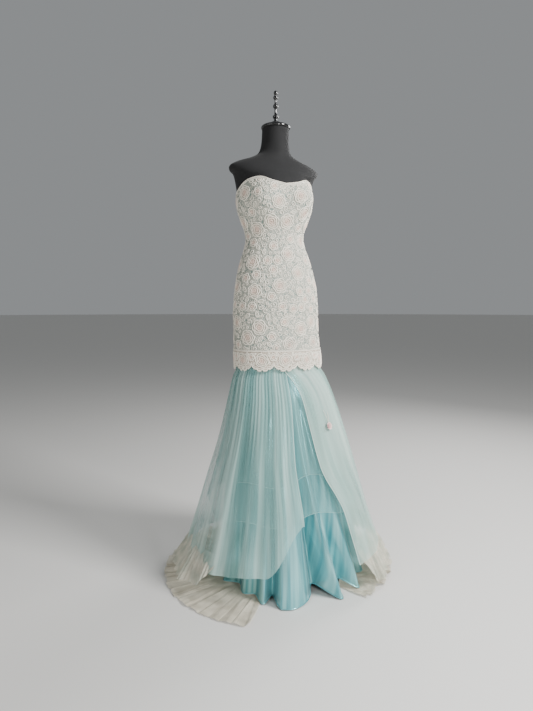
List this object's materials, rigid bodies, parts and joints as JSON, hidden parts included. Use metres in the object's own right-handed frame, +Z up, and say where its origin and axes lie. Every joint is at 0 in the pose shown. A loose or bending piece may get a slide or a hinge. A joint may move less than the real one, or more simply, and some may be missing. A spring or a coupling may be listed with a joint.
{
  "type": "strapless mermaid gown on a limbless dress form",
  "caption": "Strapless mermaid gown with corded lace sheath, tulle and satin skirts, on a limbless dress form with pole and base plate",
  "frame": {"origin": "centre of the base plate's underside, on the floor under the pole", "axes": "+Z up along the pole, -Y the gown's front, +X the wearer's left side"},
  "size_m": [0.8553, 0.7539, 1.7183],
  "materials": {
    "corded_lace": "cream corded lace with blush roses over a pale teal ground",
    "lace_edging": "dense scalloped cream lace edging",
    "milky_tulle": "smooth milky tulle",
    "aqua_tulle": "gathered aqua tulle",
    "pale_tulle": "short aqua tulle",
    "aqua_satin": "glossy aqua satin",
    "ivory_net": "stiff ivory net",
    "petal": "blush organza",
    "zip_tape": "cream zip tape and coil",
    "zip_metal": "satin nickel",
    "form_cover": "black stretch jersey",
    "black_gloss": "black gloss lacquer on turned wood",
    "stand_steel": "black powder coat"
  },
  "bodies": {
    "gown": {"sheath_front": "corded_lace", "sheath_back_left": "corded_lace", "sheath_back_right": "corded_lace", "lace_border_front": "lace_edging", "lace_border_back": "lace_edging", "tulle_overlay": "milky_tulle", "over_tulle_front": "aqua_tulle", "over_tulle_back": "aqua_tulle", "under_tulle": "pale_tulle", "satin_skirt_front": "aqua_satin", "satin_skirt_back": "aqua_satin", "net_flounce": "ivory_net", "flower": "petal", "zip_closed": "zip_tape", "zip_slider": "zip_metal", "form_torso": "form_cover", "form_cap": "black_gloss", "form_finial": "black_gloss", "form_pole": "stand_steel", "form_base": "stand_steel"},
    "zip_tab": {"zip_pull": "zip_metal"}
  },
  "joints": [
    {"name": "zip_tab_hinge", "type": "hinge", "parent": "gown", "child": "zip_tab", "pos_m": [0, 0.12708, 1.327], "axis": [1, 0, 0], "range_deg": [0, 150]}
  ]
}
